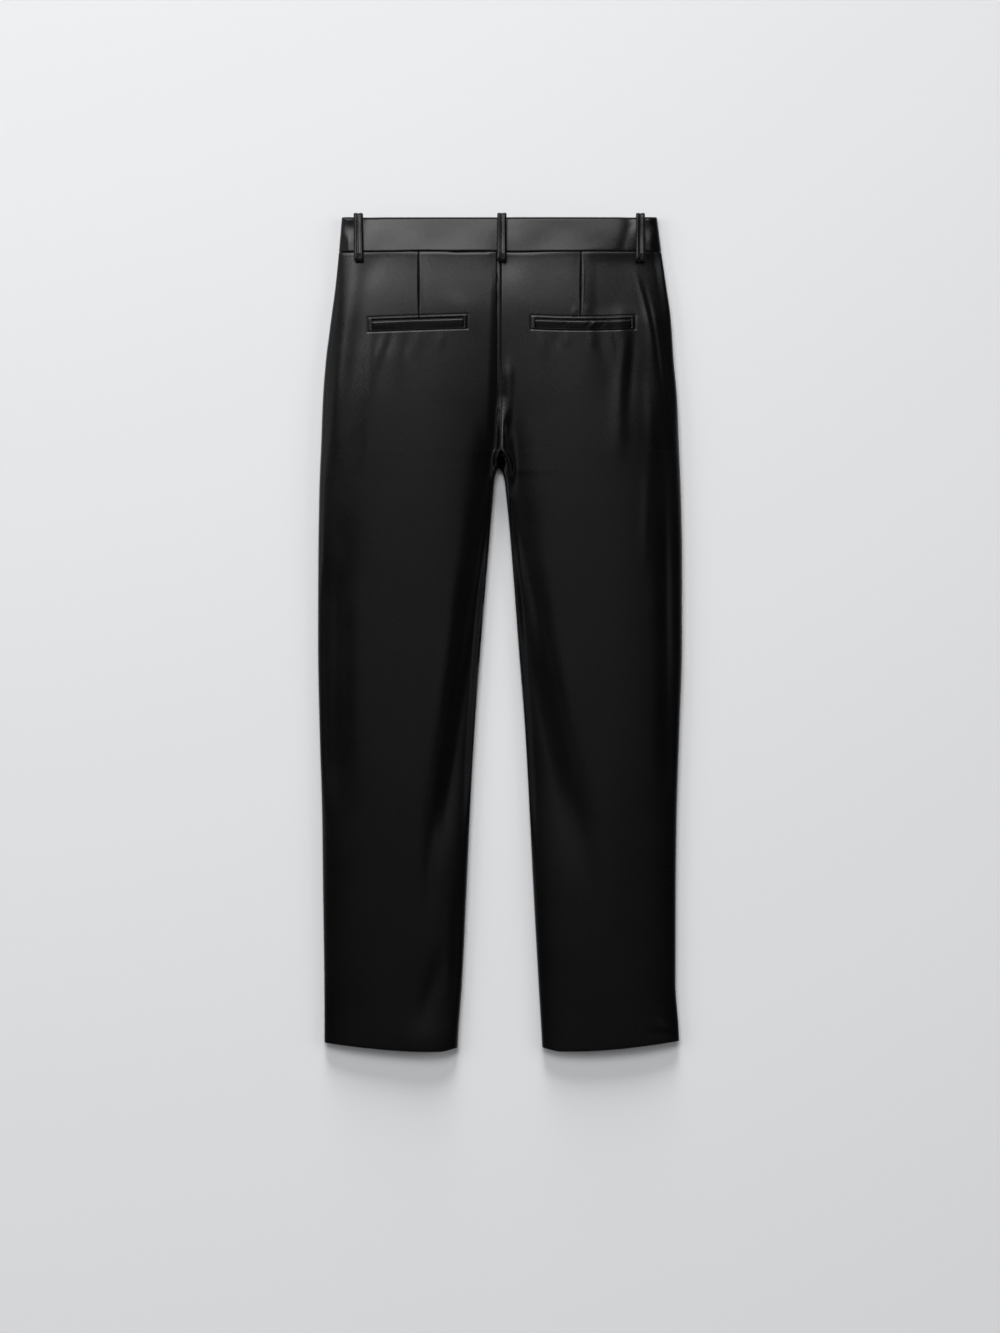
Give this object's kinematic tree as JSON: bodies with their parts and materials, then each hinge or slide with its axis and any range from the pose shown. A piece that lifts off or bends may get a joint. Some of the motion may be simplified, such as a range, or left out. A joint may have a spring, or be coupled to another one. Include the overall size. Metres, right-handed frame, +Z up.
{
  "type": "faux leather trousers",
  "caption": "Black faux leather trousers laid flat, back side up: straight ankle-length legs, waistband with belt loops, darts and welt pockets.",
  "frame": {"origin": "on the surface that the trousers lie on, under the middle of their length and width", "axes": "+Y from the hems to the waistband, +Z up from the surface through the front and then the back, +X to the right of someone who looks down at the back with the waist at the top"},
  "size_m": [0.4276, 0.9844, 0.0228],
  "materials": {
    "faux_leather": "semi-gloss black coating with a fine grain",
    "zip_tape": "woven tape",
    "hook_steel": "plated"
  },
  "bodies": {
    "root": {"back_left": "faux_leather", "back_right": "faux_leather", "front_left": "faux_leather", "front_right": "faux_leather", "fork_left": "faux_leather", "fork_right": "faux_leather", "waistband_back": "faux_leather", "waistband_front_left": "faux_leather", "waistband_front_right": "faux_leather", "pocket_welt_left": "faux_leather", "pocket_welt_right": "faux_leather", "belt_loop_left": "faux_leather", "belt_loop_centre": "faux_leather", "belt_loop_right": "faux_leather", "belt_loop_front_left": "faux_leather", "belt_loop_front_right": "faux_leather", "fly_zip": "zip_tape", "waist_hook": "hook_steel"}
  },
  "joints": []
}
